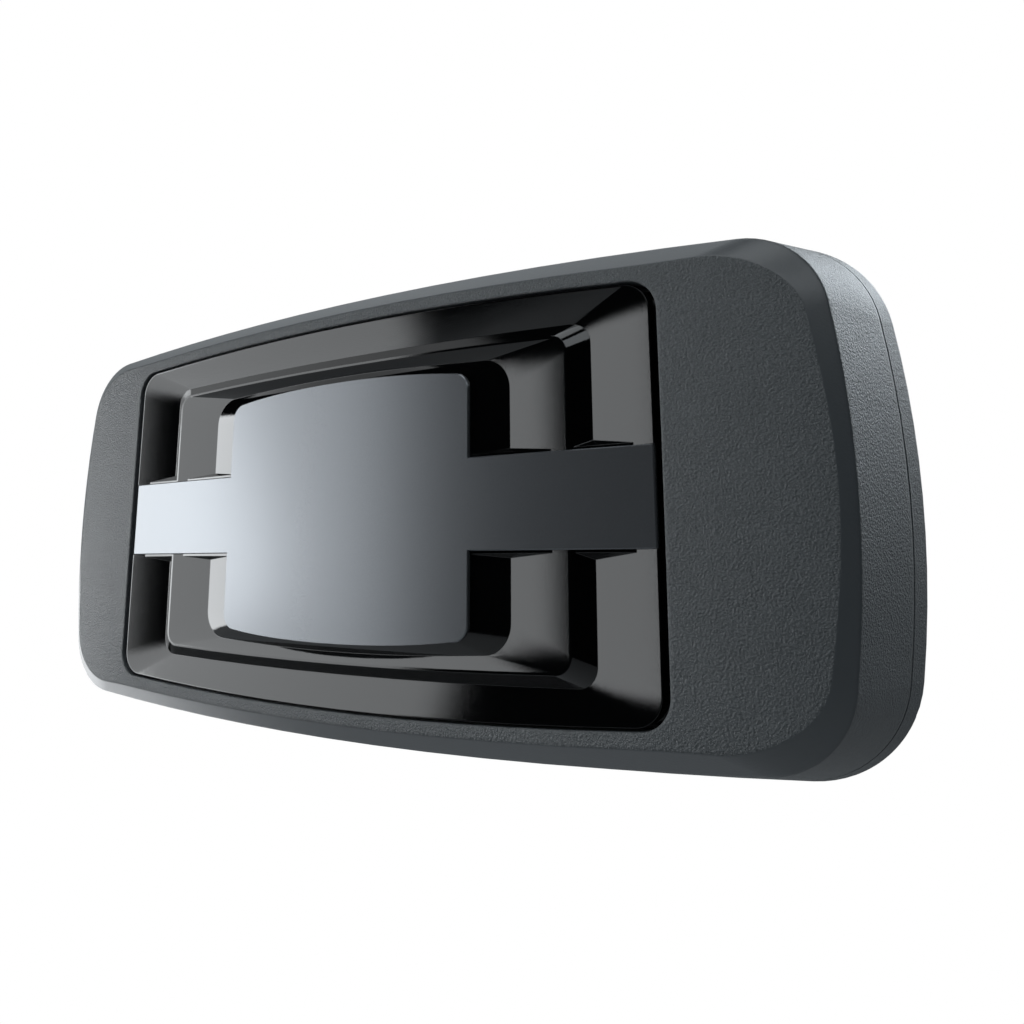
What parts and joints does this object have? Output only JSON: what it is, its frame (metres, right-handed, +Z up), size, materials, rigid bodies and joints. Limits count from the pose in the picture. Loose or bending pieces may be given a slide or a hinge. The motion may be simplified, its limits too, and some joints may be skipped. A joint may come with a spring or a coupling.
{
  "type": "garage door controller",
  "caption": "Wide wall-mounted gateway box with a stepped glossy insert, a satin cross plate, a network socket, a power socket and a side push button.",
  "frame": {"origin": "middle of the flat back face that lies against the wall", "axes": "+X along the length, -Y out of the front, +Z up on the wall"},
  "size_m": [0.1574, 0.025, 0.0768],
  "materials": {
    "front_housing": "fine moulded grain",
    "rear_housing": "fine moulded grain",
    "glossy_insert": "high gloss",
    "cross_plate": "satin grey",
    "circuit_board": "green solder mask",
    "network_jack_shell": "tinned sheet",
    "network_jack_body": "moulded",
    "network_jack_contacts": "gold plated wire",
    "network_transformer": "moulded",
    "transformer_leads": "tinned",
    "power_jack_body": "moulded",
    "power_jack_pin": "plated",
    "power_jack_spring": "plated",
    "processor_chip": "moulded",
    "memory_chips": "moulded",
    "regulator_chip": "moulded",
    "power_inductor": "ferrite",
    "electrolytic_capacitors": "drawn can",
    "clock_crystals": "metal lid",
    "chip_components": "ceramic",
    "radio_chip": "moulded",
    "radio_shield_can": "tinned sheet",
    "antenna_strip": "tinned strip",
    "status_lamps": "clear lens",
    "light_pipe": "clear moulding",
    "side_button": "satin",
    "switch_body": "moulded",
    "switch_cover": "plated",
    "switch_plunger": "moulded",
    "housing_screws": "zinc plated",
    "board_screws": "zinc plated",
    "insert_screws": "zinc plated",
    "rubber_feet": "soft",
    "rating_label": "blank silver film"
  },
  "bodies": {
    "case": {"front_housing": "front_housing", "rear_housing": "rear_housing", "glossy_insert": "glossy_insert", "cross_plate": "cross_plate", "circuit_board": "circuit_board", "network_jack_shell": "network_jack_shell", "network_jack_body": "network_jack_body", "network_jack_contacts": "network_jack_contacts", "network_transformer": "network_transformer", "transformer_leads": "transformer_leads", "power_jack_body": "power_jack_body", "power_jack_pin": "power_jack_pin", "power_jack_spring": "power_jack_spring", "processor_chip": "processor_chip", "memory_chips": "memory_chips", "regulator_chip": "regulator_chip", "power_inductor": "power_inductor", "electrolytic_capacitors": "electrolytic_capacitors", "clock_crystals": "clock_crystals", "chip_components": "chip_components", "radio_chip": "radio_chip", "radio_shield_can": "radio_shield_can", "antenna_strip": "antenna_strip", "status_lamps": "status_lamps", "light_pipe": "light_pipe", "switch_body": "switch_body", "switch_cover": "switch_cover", "housing_screws": "housing_screws", "board_screws": "board_screws", "insert_screws": "insert_screws", "rubber_feet": "rubber_feet", "rating_label": "rating_label"},
    "button": {"side_button": "side_button", "switch_plunger": "switch_plunger"}
  },
  "joints": [
    {"name": "button_press", "type": "slide", "parent": "case", "child": "button", "axis": [1, 0, 0], "range_m": [0, 0.0005], "stiffness_N_per_m": 1500}
  ]
}
